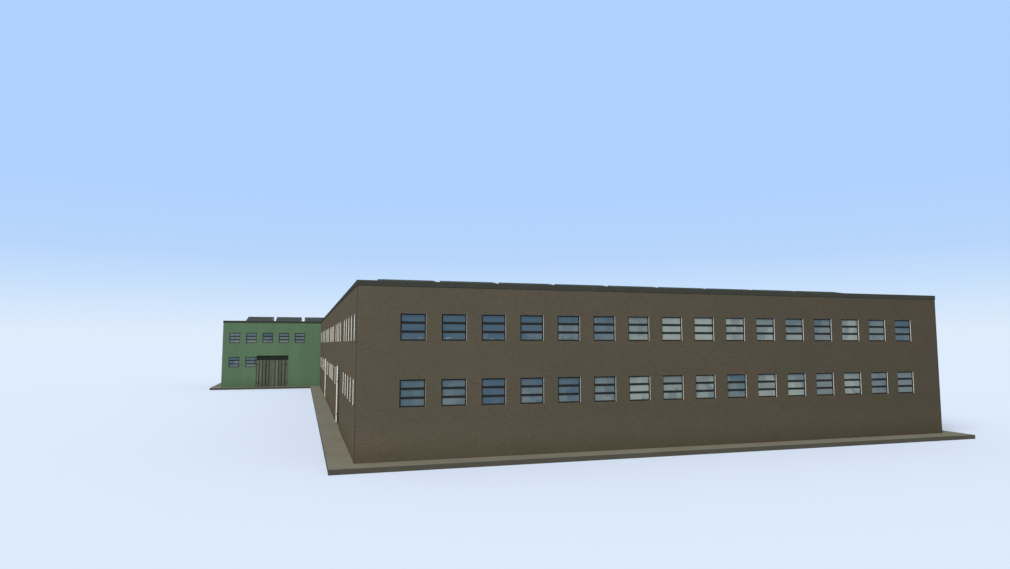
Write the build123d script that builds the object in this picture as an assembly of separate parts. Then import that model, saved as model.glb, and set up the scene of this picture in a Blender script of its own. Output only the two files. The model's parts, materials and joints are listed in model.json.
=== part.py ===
from build123d import *
import os

# A two-storey factory building, as a scale model at half of its real size.
# A long brown block stands in front and a green block runs across its back, past its left side.
# X runs along the front, Y from the front to the back and Z up. Lengths are in millimetres.
# The origin is the middle of the plinth's underside.

# Plan
MAIN_WIDTH = 18850.0        # front of the brown block
BAY = 6259.0                # one bay of the brown block's roof and gates
BAYS = 5
WING_REACH = 6350.0         # how far the green block stands out past the left side
REAR_DEPTH = 6280.0         # green block from its front to its back
WALL = 200.0                # wall thickness

# Levels, above the plinth where no other base is named
PLINTH_HEIGHT = 127.0
PLINTH_REACH = 625.0        # plinth beyond the walls
HEIGHT = 4512.0             # top of the brown block's coping
REAR_HEIGHT = 4460.0        # top of the green block's coping
COPING_HEIGHT = 140.0
COPING_REACH = 12.0         # coping proud of the wall on both faces
UPPER_FLOOR_LEVEL = 2560.0
FLOOR_THICKNESS = 150.0
ROOF_UPSTAND = 60.0         # wall above the roof, under its coping
ROOF_THICKNESS = 160.0

# Windows
WINDOW_WIDTH = 662.5
WINDOW_HEIGHT = 693.0
WINDOW_PITCH = 1067.5
WING_WINDOW_PITCH = 1050.0  # green front
WINDOWS_IN_BAY = 5          # window places from one pier to the next
LOWER_SILL = 1325.0
UPPER_SILL = 2995.0         # brown block
REAR_UPPER_SILL = 2950.0    # green block
WINDOW_RECESS = 27.0
PANE_THICKNESS = 16.0
FRONT_WINDOWS = 16
REAR_WINDOWS = 22
SIDE_MARGIN = 300.0         # front corner to the first window of a long side
WING_MARGIN = 414.0         # corner to the first window of the green front

# Gates
GATE_WIDTH = 2060.0
GATE_HEIGHT = 2100.0
GATE_HEADER = 300.0         # fixed panel over the leaves
GATE_RECESS = 45.0
SIDE_GATE_BAYS = (1, 3)
SIDE_GATE_MARGIN = 750.0    # bay's edge to the gate
WING_GATE_START = 2160.0    # green front's left corner to its gate
LEAF_THICKNESS = 40.0
LEAF_SIDE_GAP = 8.0
LEAF_MIDDLE_GAP = 12.0
LEAF_FLOOR_GAP = 10.0
LEAF_TOP_GAP = 8.0
HINGE_HEIGHTS = (260.0, 1480.0)
PIN_RADIUS = 6.0
EYE_RADIUS = 12.0
EYE_HEIGHT = 36.0
PIN_FIT = 0.3               # running clearance at the pin
EYE_JAMB_GAP = 7.0
STRAP_LENGTH = 180.0
STRAP_THICKNESS = 8.0
BRACKET_HEIGHT = 16.0

# Rooflights: wedges with a sloping glazed top, low in front and high behind
ROOFLIGHT_WIDTH = 1735.0
ROOFLIGHT_PITCH = 1930.0
ROOFLIGHT_LENGTH = 2200.0
ROOFLIGHT_FRONT = 187.0     # height of the kerb in front
ROOFLIGHT_BACK = 555.0
ROOFLIGHT_WALL = 40.0
ROOFLIGHT_GLASS = 20.0
ROOFLIGHT_END_MARGIN = 500.0    # least room between a row's end and the right side
MAIN_ROOFLIGHT_MARGIN = 875.0   # left side to the first rooflight
MAIN_ROOFLIGHT_SETBACK = 1350.0
REAR_ROOFLIGHT_MARGIN = 1380.0
REAR_ROOFLIGHT_SETBACK = 350.0

# Worked out from the sizes above
MAIN_DEPTH = BAY * BAYS
TOTAL_WIDTH = WING_REACH + MAIN_WIDTH
TOTAL_DEPTH = MAIN_DEPTH + REAR_DEPTH
WING_LEFT = -TOTAL_WIDTH / 2
MAIN_LEFT = WING_LEFT + WING_REACH
RIGHT = TOTAL_WIDTH / 2
FRONT = -TOTAL_DEPTH / 2
REAR_FRONT = FRONT + MAIN_DEPTH
REAR = TOTAL_DEPTH / 2
ROOF_TOP = HEIGHT - COPING_HEIGHT - ROOF_UPSTAND
REAR_ROOF_TOP = REAR_HEIGHT - COPING_HEIGHT - ROOF_UPSTAND
LEAF_WIDTH = GATE_WIDTH / 2 - LEAF_SIDE_GAP - LEAF_MIDDLE_GAP / 2
LEAF_HEIGHT = GATE_HEIGHT - GATE_HEADER - LEAF_FLOOR_GAP - LEAF_TOP_GAP
PIVOT_RUN = EYE_JAMB_GAP + EYE_RADIUS
PIVOT_DEPTH = GATE_RECESS - EYE_RADIUS


def block(x, y, z):
    """Box between the low and high values of x, y and z; z counts from the top of the plinth."""
    middle = [(low + high) / 2 for low, high in (x, y, z)]
    size = [high - low for low, high in (x, y, z)]
    return Pos(middle[0], middle[1], middle[2] + PLINTH_HEIGHT) * Box(*size)


class Face:
    """One outer wall face. A run goes along it and a depth goes from it into the building."""

    def __init__(self, corner, along, inward, length, height=HEIGHT, upper_sill=UPPER_SILL):
        self.corner = Vector(*corner)
        self.along = Vector(*along)
        self.inward = Vector(*inward)
        self.length = length
        self.height = height
        self.wall_top = height - COPING_HEIGHT
        self.upper_sill = upper_sill

    def at(self, run, depth):
        return self.corner + self.along * run + self.inward * depth

    def block(self, runs, depths, heights):
        first = self.at(runs[0], depths[0])
        last = self.at(runs[1], depths[1])
        return block(sorted((first.X, last.X)), sorted((first.Y, last.Y)), heights)

    def column(self, run, depth, radius, heights):
        place = self.at(run, depth)
        height = heights[1] - heights[0]
        middle = (heights[0] + heights[1]) / 2 + PLINTH_HEIGHT
        return Pos(place.X, place.Y, middle) * Cylinder(radius, height)


front = Face((MAIN_LEFT, FRONT), (1, 0), (0, 1), MAIN_WIDTH)
left = Face((MAIN_LEFT, FRONT), (0, 1), (1, 0), MAIN_DEPTH)
right = Face((RIGHT, FRONT), (0, 1), (-1, 0), MAIN_DEPTH)
party = Face((MAIN_LEFT, REAR_FRONT), (1, 0), (0, 1), MAIN_WIDTH)
green = (REAR_HEIGHT, REAR_UPPER_SILL)
wing_front = Face((WING_LEFT, REAR_FRONT), (1, 0), (0, 1), WING_REACH, *green)
wing_end = Face((WING_LEFT, REAR_FRONT), (0, 1), (1, 0), REAR_DEPTH, *green)
rear_end = Face((RIGHT, REAR_FRONT), (0, 1), (-1, 0), REAR_DEPTH, *green)
rear = Face((WING_LEFT, REAR), (1, 0), (0, -1), TOTAL_WIDTH, *green)


# Window starts along each face

def row(first, count, pitch=WINDOW_PITCH):
    return [first + place * pitch for place in range(count)]


def centred_row(length, count):
    return row((length - (count - 1) * WINDOW_PITCH - WINDOW_WIDTH) / 2, count)


def side_places():
    """Windows as far as a long side goes. A pier takes the first place after each bay of them."""
    room = MAIN_DEPTH - SIDE_MARGIN - WINDOW_WIDTH
    starts = row(SIDE_MARGIN, int(room // WINDOW_PITCH) + 1)
    return [
        start
        for place, start in enumerate(starts)
        if place < WINDOWS_IN_BAY or place % WINDOWS_IN_BAY > 0
    ]


def clear_of(starts, gates):
    """The windows that don't meet a gate."""
    return [
        start
        for start in starts
        if all(start + WINDOW_WIDTH < gate or start > gate + GATE_WIDTH for gate in gates)
    ]


front_row = centred_row(MAIN_WIDTH, FRONT_WINDOWS)
rear_row = centred_row(TOTAL_WIDTH, REAR_WINDOWS)
end_row = centred_row(REAR_DEPTH, WINDOWS_IN_BAY)
side_row = side_places()
wing_row = row(WING_MARGIN, WINDOWS_IN_BAY, WING_WINDOW_PITCH)
side_gates = [bay * BAY + SIDE_GATE_MARGIN for bay in SIDE_GATE_BAYS]
side_lower_row = clear_of(side_row, side_gates)
# The green front has blank wall to the right of its gate.
wing_lower_row = [start for start in wing_row if start + WINDOW_WIDTH < WING_GATE_START]


# Walls and windows

def window_holes(face, starts, sill):
    return [
        face.block((start, start + WINDOW_WIDTH), (0, WALL), (sill, sill + WINDOW_HEIGHT))
        for start in starts
    ]


def panes(face, lower, upper):
    depths = (WINDOW_RECESS, WINDOW_RECESS + PANE_THICKNESS)
    return [
        face.block((start, start + WINDOW_WIDTH), depths, (sill, sill + WINDOW_HEIGHT))
        for starts, sill in ((lower, LOWER_SILL), (upper, face.upper_sill))
        for start in starts
    ]


def plain_wall(face, ends, lower, upper):
    """A wall with both window rows and no gate, between two places along the face."""
    holes = window_holes(face, lower, LOWER_SILL)
    holes += window_holes(face, upper, face.upper_sill)
    wall = face.block(ends, (0, WALL), (0, face.wall_top))
    return wall - holes if holes else wall


def piers(face, ends, lower, gates):
    """The wall beside the gates, up to their heads."""
    cuts = [ends[0]]
    for gate in gates:
        cuts += [gate, gate + GATE_WIDTH]
    cuts.append(ends[1])
    made = []
    for low, high in zip(cuts[::2], cuts[1::2]):
        inside = [start for start in lower if low <= start < high]
        pier = face.block((low, high), (0, WALL), (0, GATE_HEIGHT))
        holes = window_holes(face, inside, LOWER_SILL)
        made.append(pier - holes if holes else pier)
    return made


def upper_wall(face, ends, upper):
    """The wall over the gates, from their heads to the coping."""
    wall = face.block(ends, (0, WALL), (GATE_HEIGHT, face.wall_top))
    return wall - window_holes(face, upper, face.upper_sill)


def coping(face, start, end):
    """Capping on a wall's top, between two places along the face."""
    depths = (-COPING_REACH, WALL + COPING_REACH)
    return face.block((start, end), depths, (face.wall_top, face.height))


def coping_past_corners(face):
    return coping(face, -COPING_REACH, face.length + COPING_REACH)


# Gates

def hinge_bases():
    return [LEAF_FLOOR_GAP + height for height in HINGE_HEIGHTS]


def gate_leaf(face, jamb, way):
    """A leaf hung at the jamb. way is 1 where the leaf runs on along the face, or -1."""
    def runs(low, high):
        return sorted((jamb + way * low, jamb + way * high))

    leaf = face.block(
        runs(LEAF_SIDE_GAP, LEAF_SIDE_GAP + LEAF_WIDTH),
        (GATE_RECESS, GATE_RECESS + LEAF_THICKNESS),
        (LEAF_FLOOR_GAP, LEAF_FLOOR_GAP + LEAF_HEIGHT),
    )
    pivot = jamb + way * PIVOT_RUN
    bores = []
    for base in hinge_bases():
        heights = (base, base + EYE_HEIGHT)
        leaf += face.block(
            runs(PIVOT_RUN, PIVOT_RUN + STRAP_LENGTH),
            (GATE_RECESS - STRAP_THICKNESS, GATE_RECESS),
            heights,
        )
        leaf += face.column(pivot, PIVOT_DEPTH, EYE_RADIUS, heights)
        bores.append(face.column(pivot, PIVOT_DEPTH, PIN_RADIUS + PIN_FIT, heights))
    return leaf - bores


def hinge_pins(face, jamb, way):
    """The brackets on the jamb, each with its pin."""
    made = []
    for base in hinge_bases():
        seat = base - PIN_FIT
        runs = sorted((jamb, jamb + way * (PIVOT_RUN + PIN_RADIUS)))
        depths = (PIVOT_DEPTH - PIN_RADIUS, PIVOT_DEPTH + PIN_RADIUS)
        bracket = face.block(runs, depths, (seat - BRACKET_HEIGHT, seat))
        top = base + EYE_HEIGHT
        pin = face.column(jamb + way * PIVOT_RUN, PIVOT_DEPTH, PIN_RADIUS, (seat, top))
        made.append(bracket + pin)
    return made


def gate_header(face, gate):
    return face.block(
        (gate, gate + GATE_WIDTH),
        (GATE_RECESS, GATE_RECESS + LEAF_THICKNESS),
        (GATE_HEIGHT - GATE_HEADER, GATE_HEIGHT),
    )


# Rooflights

def rooflight_row(x, y, roof):
    """The front left corners of a row that runs on from x to the right side, as far as it fits."""
    room = RIGHT - ROOFLIGHT_END_MARGIN - ROOFLIGHT_WIDTH - x
    count = int(room // ROOFLIGHT_PITCH) + 1
    return [(x + place * ROOFLIGHT_PITCH, y, roof) for place in range(count)]


def wedge(x, y, roof, inset):
    """A prism with a sloping top that stands on the roof, drawn in by inset on its four sides."""
    slope = (ROOFLIGHT_BACK - ROOFLIGHT_FRONT) / ROOFLIGHT_LENGTH
    low, high = inset, ROOFLIGHT_LENGTH - inset
    profile = Polyline(
        (low, 0),
        (high, 0),
        (high, ROOFLIGHT_FRONT + slope * high),
        (low, ROOFLIGHT_FRONT + slope * low),
        close=True,
    )
    side = Plane(origin=(x + inset, y, roof + PLINTH_HEIGHT), x_dir=(0, 1, 0), z_dir=(1, 0, 0))
    return extrude(side * make_face(profile), amount=ROOFLIGHT_WIDTH - 2 * inset)


def rooflight_kerb(x, y, roof):
    return wedge(x, y, roof, 0) - wedge(x, y, roof, ROOFLIGHT_WALL)


def rooflight_glass(x, y, roof):
    slope = (ROOFLIGHT_BACK - ROOFLIGHT_FRONT) / ROOFLIGHT_LENGTH
    base = roof + PLINTH_HEIGHT + ROOFLIGHT_FRONT
    profile = Polyline(
        (0, 0),
        (ROOFLIGHT_LENGTH, slope * ROOFLIGHT_LENGTH),
        (ROOFLIGHT_LENGTH, slope * ROOFLIGHT_LENGTH + ROOFLIGHT_GLASS),
        (0, ROOFLIGHT_GLASS),
        close=True,
    )
    side = Plane(origin=(x, y, base), x_dir=(0, 1, 0), z_dir=(1, 0, 0))
    return extrude(side * make_face(profile), amount=ROOFLIGHT_WIDTH)


def roof_slab(x, y, roof, lights):
    """A roof between its walls, open under each rooflight."""
    heights = (roof - ROOF_THICKNESS, roof)
    wells = [
        block(
            (left_edge + ROOFLIGHT_WALL, left_edge + ROOFLIGHT_WIDTH - ROOFLIGHT_WALL),
            (front_edge + ROOFLIGHT_WALL, front_edge + ROOFLIGHT_LENGTH - ROOFLIGHT_WALL),
            heights,
        )
        for left_edge, front_edge, _ in lights
    ]
    return block(x, y, heights) - wells


main_lights = [
    corner
    for bay in range(BAYS)
    for corner in rooflight_row(
        MAIN_LEFT + MAIN_ROOFLIGHT_MARGIN, FRONT + bay * BAY + MAIN_ROOFLIGHT_SETBACK, ROOF_TOP
    )
]
rear_lights = rooflight_row(
    WING_LEFT + REAR_ROOFLIGHT_MARGIN, REAR_FRONT + REAR_ROOFLIGHT_SETBACK, REAR_ROOF_TOP
)

# Rooms between the walls
main_x = (MAIN_LEFT + WALL, RIGHT - WALL)
main_y = (FRONT + WALL, REAR_FRONT)
rear_x = (WING_LEFT + WALL, RIGHT - WALL)
rear_y = (REAR_FRONT + WALL, REAR - WALL)
floor_heights = (UPPER_FLOOR_LEVEL - FLOOR_THICKNESS, UPPER_FLOOR_LEVEL)

nodes = {
    # Plinth, which is also the ground floor
    "plinth_main": block(
        (MAIN_LEFT - PLINTH_REACH, RIGHT + PLINTH_REACH),
        (FRONT - PLINTH_REACH, REAR_FRONT - PLINTH_REACH),
        (-PLINTH_HEIGHT, 0),
    ),
    "plinth_rear": block(
        (WING_LEFT - PLINTH_REACH, RIGHT + PLINTH_REACH),
        (REAR_FRONT - PLINTH_REACH, REAR + PLINTH_REACH),
        (-PLINTH_HEIGHT, 0),
    ),
    # Brown block
    "front_wall": plain_wall(front, (0, MAIN_WIDTH), front_row, front_row),
    "front_windows": panes(front, front_row, front_row),
    "left_wall_lower": piers(left, (WALL, MAIN_DEPTH), side_lower_row, side_gates),
    "left_wall_upper": upper_wall(left, (WALL, MAIN_DEPTH), side_row),
    "left_windows": panes(left, side_lower_row, side_row),
    "right_wall": plain_wall(right, (WALL, MAIN_DEPTH), side_row, side_row),
    "right_windows": panes(right, side_row, side_row),
    "party_wall": plain_wall(party, (0, MAIN_WIDTH), [], []),
    "main_upper_floor": block(main_x, main_y, floor_heights),
    "main_roof": roof_slab(main_x, main_y, ROOF_TOP, main_lights),
    # Green block
    "wing_front_lower": piers(wing_front, (0, WING_REACH), wing_lower_row, [WING_GATE_START]),
    "wing_front_upper": upper_wall(wing_front, (0, WING_REACH), wing_row),
    "wing_front_windows": panes(wing_front, wing_lower_row, wing_row),
    "wing_end_wall": plain_wall(wing_end, (WALL, REAR_DEPTH - WALL), end_row, end_row),
    "wing_end_windows": panes(wing_end, end_row, end_row),
    "rear_wall": plain_wall(rear, (0, TOTAL_WIDTH), rear_row, rear_row),
    "rear_windows": panes(rear, rear_row, rear_row),
    "rear_end_wall": plain_wall(rear_end, (WALL, REAR_DEPTH - WALL), end_row, end_row),
    "rear_end_windows": panes(rear_end, end_row, end_row),
    "rear_upper_floor": block(rear_x, rear_y, floor_heights),
    "rear_roof": roof_slab(rear_x, rear_y, REAR_ROOF_TOP, rear_lights),
    # Copings
    "front_coping": coping_past_corners(front),
    "left_coping": coping(left, WALL + COPING_REACH, MAIN_DEPTH - COPING_REACH),
    "right_coping": coping(right, WALL + COPING_REACH, MAIN_DEPTH - COPING_REACH),
    "party_coping": coping_past_corners(party),
    "wing_front_coping": coping(wing_front, -COPING_REACH, WING_REACH - COPING_REACH),
    "wing_end_coping": coping(wing_end, WALL + COPING_REACH, REAR_DEPTH - WALL - COPING_REACH),
    "rear_end_coping": coping(rear_end, WALL + COPING_REACH, REAR_DEPTH - WALL - COPING_REACH),
    "rear_coping": coping_past_corners(rear),
    # Rooflights
    "main_rooflight_kerbs": [rooflight_kerb(*corner) for corner in main_lights],
    "main_rooflight_glass": [rooflight_glass(*corner) for corner in main_lights],
    "rear_rooflight_kerbs": [rooflight_kerb(*corner) for corner in rear_lights],
    "rear_rooflight_glass": [rooflight_glass(*corner) for corner in rear_lights],
}

# Gates: each has its face, its start along it, and the names of its first and second leaf
gates = {
    "near_gate": (left, side_gates[0], "right_leaf", "left_leaf"),
    "far_gate": (left, side_gates[1], "right_leaf", "left_leaf"),
    "wing_gate": (wing_front, WING_GATE_START, "left_leaf", "right_leaf"),
}
nodes["gate_headers"] = [gate_header(face, start) for face, start, _, _ in gates.values()]
nodes["gate_hinge_pins"] = []
for name, (face, start, first_leaf, second_leaf) in gates.items():
    end = start + GATE_WIDTH
    nodes[f"{name}_{first_leaf}"] = gate_leaf(face, start, 1)
    nodes[f"{name}_{second_leaf}"] = gate_leaf(face, end, -1)
    nodes["gate_hinge_pins"] += hinge_pins(face, start, 1) + hinge_pins(face, end, -1)

os.makedirs("parts", exist_ok=True)
for name, shape in nodes.items():
    solids = shape if isinstance(shape, list) else [shape]
    export_step(Compound(children=solids), f"parts/{name}.step")
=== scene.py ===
import json
from math import radians

import bpy
import numpy as np
from bpy.props import FloatProperty, FloatVectorProperty, IntProperty, PointerProperty
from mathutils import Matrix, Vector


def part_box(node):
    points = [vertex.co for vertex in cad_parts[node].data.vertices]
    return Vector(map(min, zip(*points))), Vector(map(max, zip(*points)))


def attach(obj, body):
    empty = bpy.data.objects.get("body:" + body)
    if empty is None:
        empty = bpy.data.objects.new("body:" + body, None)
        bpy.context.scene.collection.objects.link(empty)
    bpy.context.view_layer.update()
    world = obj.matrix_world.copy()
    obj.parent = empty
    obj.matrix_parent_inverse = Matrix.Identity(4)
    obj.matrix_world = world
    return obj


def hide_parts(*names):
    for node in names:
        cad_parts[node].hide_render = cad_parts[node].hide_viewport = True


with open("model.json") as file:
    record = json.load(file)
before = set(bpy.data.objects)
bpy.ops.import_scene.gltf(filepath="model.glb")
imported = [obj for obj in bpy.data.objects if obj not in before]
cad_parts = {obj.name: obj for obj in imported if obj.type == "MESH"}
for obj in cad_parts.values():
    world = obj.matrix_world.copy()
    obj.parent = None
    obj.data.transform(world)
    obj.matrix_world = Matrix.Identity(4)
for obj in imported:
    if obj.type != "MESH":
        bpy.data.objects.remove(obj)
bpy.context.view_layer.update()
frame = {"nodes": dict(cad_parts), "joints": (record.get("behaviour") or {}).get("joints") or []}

bl_info = {
    "name": "Factory Building",
    "version": (1, 0, 0),
    "blender": (4, 5, 0),
    "location": "View3D > Sidebar > Factory",
    "description": "Windows, gates, copings, rooflights and finishes of a two-storey factory building",
    "category": "Add Mesh",
}

BUILDING = "building"
UP = (0.0, 0.0, 1.0)

# Each glazed wall: the node with its face, the node of its windows and the way that it looks
GLAZED_WALLS = {
    "front": ("front_wall", "front_windows", (0, -1, 0)),
    "left": ("left_wall_upper", "left_windows", (-1, 0, 0)),
    "right": ("right_wall", "right_windows", (1, 0, 0)),
    "wing_front": ("wing_front_upper", "wing_front_windows", (0, -1, 0)),
    "wing_end": ("wing_end_wall", "wing_end_windows", (-1, 0, 0)),
    "rear": ("rear_wall", "rear_windows", (0, 1, 0)),
    "rear_end": ("rear_end_wall", "rear_end_windows", (1, 0, 0)),
}
# Each gate: its wall and the bodies of its two leaves
GATES = {
    "near_gate": ("left", "near_gate_right_leaf", "near_gate_left_leaf"),
    "far_gate": ("left", "far_gate_right_leaf", "far_gate_left_leaf"),
    "wing_gate": ("wing_front", "wing_gate_left_leaf", "wing_gate_right_leaf"),
}
# Each coping and the axis that it runs along, 0 for X and 1 for Y
COPINGS = {
    "front_coping": 0, "party_coping": 0, "wing_front_coping": 0, "rear_coping": 0,
    "left_coping": 1, "right_coping": 1, "wing_end_coping": 1, "rear_end_coping": 1,
}
# Each block's rooflights: the node of their glass and the node of their kerbs
ROOFLIGHTS = {
    "main": ("main_rooflight_glass", "main_rooflight_kerbs"),
    "rear": ("rear_rooflight_glass", "rear_rooflight_kerbs"),
}
BROWN_WALLS = ("front_wall", "left_wall_lower", "left_wall_upper", "right_wall", "party_wall")
GREEN_WALLS = ("wing_front_lower", "wing_front_upper", "wing_end_wall", "rear_wall", "rear_end_wall")

# The sky from the horizon up: the sine of the height over it, and a screen colour from 0 to 255
SKY = (
    (0.015, (223, 236, 252)), (0.055, (209, 229, 252)), (0.087, (197, 222, 252)),
    (0.125, (184, 214, 252)), (0.165, (181, 212, 253)), (0.21, (176, 210, 255)),
)
FIRST_LEAF_SEED = 100       # the gate leaves' boards draw their shades from this seed on
PANE_SEEDS = 50             # and the panes of a wall from this seed plus the wall's place in the list


def srgb(red, green, blue):
    """Linear colour of a screen colour from 0 to 255: a line near black, a power of 2.4 above it."""
    value = np.array([red, green, blue]) / 255.0
    linear = np.where(value <= 0.04045, value / 12.92, ((value + 0.055) / 1.055) ** 2.4)
    return tuple(float(part) for part in linear)


# Sizes and colours

def length(name, description, default):
    """A size in metres."""
    return FloatProperty(
        name=name, description=description, default=default, min=0.0, unit="LENGTH", precision=4
    )


def colour(name, description, default):
    """A linear colour."""
    return FloatVectorProperty(
        name=name, description=description, default=default, subtype="COLOR", min=0.0, max=1.0
    )


class WindowSizes(bpy.types.PropertyGroup):
    frame: length("Frame", "Width of the outer frame", 0.020)
    sash: length("Sash", "Width of a sash's rails and stiles", 0.014)
    transom: length("Transom", "Height of the bar between two sashes", 0.032)
    depth: length("Depth", "Front to back of the frame", 0.034)
    chamfer: length("Chamfer", "Bevel along the bars", 0.002)
    lining: length("Lining", "Thickness of the plaster on the reveals", 0.0006)
    arris: length("Arris", "Bare brick between a wall's face and the plaster", 0.0085)
    glass: length("Glass", "Thickness of the panes", 0.004)
    cloud: IntProperty(name="Cloud", description="Seed of the clouds in the front windows", default=1)
    glint_drop: length("Glint drop", "Head of the upper windows to the glints low in them", 0.640)
    panes: IntProperty(name="Panes", description="Panes in a window", default=3, min=1)


class WallSizes(bpy.types.PropertyGroup):
    brick: length("Brick", "Length of a brick with its joint", 0.1125)
    course: length("Course", "Height of a brick course with its joint", 0.0375)
    joint: length("Joint", "Width of the mortar joints", 0.005)
    bead: length("Bead", "Width of the dark beads on the front corners, on each face", 0.010)
    bead_thickness: length("Bead thickness", "How far the corner beads stand out", 0.0015)


class GateSizes(bpy.types.PropertyGroup):
    boards: IntProperty(name="Boards", description="Front boards of a leaf", default=5, min=1)
    board: length("Board", "Width of a front board", 0.150)
    layer: length("Layer", "Thickness of one layer of boards", 0.012)
    leaf: length("Leaf", "Thickness of a leaf", 0.040)
    ledge: length("Ledge", "Height of a ledge on the back", 0.110)
    chamfer: length("Chamfer", "Bevel along the boards", 0.003)
    bolt: length("Bolt", "Radius of a bolt's head", 0.006)
    bolt_head: length("Bolt head", "Height of a bolt's head", 0.004)
    eye: length("Eye", "Outer radius of a hinge's eye", 0.012)
    bore: length("Bore", "Inner radius of a hinge's eye", 0.0063)
    strap: length("Strap", "Thickness of a strap", 0.008)
    strap_reach: length("Strap reach", "Pin to the end of the strap", 0.180)
    lining: length("Lining", "Thickness of the plaster on the gateways", 0.0015)


class RoofSizes(bpy.types.PropertyGroup):
    coping: length("Coping length", "Length of one coping stone", 1.25)
    joint: length("Joint", "Gap between two coping stones", 0.006)
    chamfer: length("Chamfer", "Bevel along the copings", 0.008)
    frame: length("Frame", "Width of a rooflight's edge frame", 0.075)
    bar: length("Bar", "Width of a glazing bar", 0.024)
    bars: IntProperty(name="Bars", description="Glazing bars on a rooflight", default=3, min=0)


class FinishColours(bpy.types.PropertyGroup):
    brown: colour("Brown wall", "Bricks of the long block", srgb(86, 78, 65))
    olive: colour("Olive patches", "Weathered patches on the bricks", srgb(81, 77, 62))
    bead: colour("Corner beads", "Beads on the front corners", srgb(58, 55, 45))
    green: colour("Green wall", "Painted render of the cross block", srgb(91, 118, 89))
    coping: colour("Coping", "Painted copings", srgb(61, 62, 55))
    concrete: colour("Concrete", "Plinth", srgb(118, 115, 100))
    lining: colour("Lining", "Plaster on the reveals", srgb(248, 241, 226))
    frames: colour("Frames", "Window frames", srgb(40, 41, 38))
    # The panes' two colours are painted reflections, of clear sky and of cloud
    painted_sky_reflection: colour("Blue glass", "Panes that mirror clear sky", srgb(71, 92, 105))
    painted_cloud_reflection: colour("Pale glass", "Panes that mirror cloud", srgb(143, 151, 142))
    boards: colour("Boards", "Front boards of the gate in the green wall", srgb(96, 99, 85))
    # These boards are darkened by painted shade
    shaded_side_boards: colour("Side boards", "Front boards of the gates in the brown wall", srgb(52, 52, 43))
    dark_boards: colour("Dark boards", "Back layer of the gates", srgb(56, 58, 48))
    header: colour("Header", "Panels over the gates, and the green wall's jambs", srgb(38, 42, 35))
    iron: colour("Iron", "Hinges and bolts", srgb(34, 34, 33))
    felt: colour("Felt", "Roof covering", srgb(84, 86, 84))
    roof_glass: colour("Rooflight glass", "Glazing of the rooflights", srgb(64, 69, 63))
    floor: colour("Stage floor", "Floor under the building", srgb(212, 224, 242))


class StageSettings(bpy.types.PropertyGroup):
    corner_offset: FloatVectorProperty(
        name="Camera place", description="From the brown block's near left corner",
        default=(-1.300, -16.764, 2.9265), subtype="TRANSLATION", unit="LENGTH",
    )
    pitch: FloatProperty(
        name="Pitch", description="Camera above level", default=radians(5.105), subtype="ANGLE"
    )
    yaw: FloatProperty(
        name="Yaw", description="Camera to the right of +Y", default=radians(17.1027), subtype="ANGLE"
    )
    lens: FloatProperty(name="Lens", description="Focal length", default=23.50, min=1.0, unit="CAMERA")
    sun: FloatProperty(name="Sun", description="Strength of the soft sun", default=2.9, min=0.0)
    world: FloatProperty(name="World", description="Strength of the even light", default=0.46)


SETTINGS = {
    "factory_walls": WallSizes,
    "factory_windows": WindowSizes,
    "factory_gates": GateSizes,
    "factory_roof": RoofSizes,
    "factory_colours": FinishColours,
    "factory_stage": StageSettings,
}


# Planes and meshes

ALONG, ACROSS, OUTWARD = np.eye(3)      # the directions a, b and n in a plane's own numbers
NEAR = 0.001                            # two measures of one edge lie closer than this


class Plane:
    """A flat place to build on: a runs along it, b up it and n out of it, a point is their sum."""

    def __init__(self, origin, a, b):
        a, b = np.array(a, float), np.array(b, float)
        self.origin = np.array(origin, float)
        self.axes = np.array([a, b, np.cross(a, b)])

    def world(self, points):
        """The origin plus a, b and n times their directions."""
        return self.origin + points @ self.axes

    def local(self, points):
        """The a, b and n of points: how far each lies from the origin along each direction."""
        return (points - self.origin) @ self.axes.T


class Shape:
    """Points and faces that are gathered into one mesh."""

    def __init__(self):
        self.points, self.faces, self.shades, self.count = [], [], [], 0

    def add(self, points, faces, shade=0.0):
        """Takes points, faces that count from the first of them, and a shade for all or for each."""
        points = points.reshape(-1, 3)
        self.points.append(points)
        self.faces += [row for part in faces for row in (part + self.count).tolist()]
        self.shades.append(np.broadcast_to(shade, len(points)))
        self.count += len(points)
        return self

    def piece(self, name, finish, slot, body=BUILDING, replaces=()):
        """The object of all that was added, with its shades as an attribute, riding on a body."""
        mesh = bpy.data.meshes.new(name)
        mesh.from_pydata(np.concatenate(self.points).tolist(), [], self.faces)
        shade = mesh.attributes.new("shade", "FLOAT", "POINT")
        shade.data.foreach_set("value", np.concatenate(self.shades).astype(np.float32))
        mesh.materials.append(finish)
        mesh.update()
        made = bpy.data.objects.new(name, mesh)
        bpy.context.scene.collection.objects.link(made)
        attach(made, body)
        if replaces:
            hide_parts(*replaces)


def node_points(node):
    """All corner points of a CAD node."""
    mesh = frame["nodes"][node].data
    points = np.zeros(len(mesh.vertices) * 3, np.float32)
    mesh.vertices.foreach_get("co", points)
    return points.reshape(-1, 3).astype(float)


def node_box(node):
    """The lowest and highest corners of a CAD node."""
    return np.array(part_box(node))


def spans(values):
    """The low and high ends of the stretches whose ends, to 0.1 mm, are all that values holds."""
    return np.unique(np.round(values, 4)).reshape(-1, 2)


def rows_of(node, points):
    """The rows that a node's solids stand in: each row's span in b, and its solids' spans in a."""
    rows = spans(points[:, 1])
    if not len(rows):
        raise RuntimeError(f"no rows in {node}")
    for low, high in rows:
        inside = (points[:, 1] > low - NEAR) & (points[:, 1] < high + NEAR)
        yield (low, high), spans(points[inside, 0])


def wall_plane(wall, outward):
    """The plane of a wall's outer face: n is 0 on the face and negative inside the wall."""
    outward = np.array(outward, float)
    return Plane(outward * (node_box(wall) @ outward).max(), np.cross(UP, outward), UP)


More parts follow.
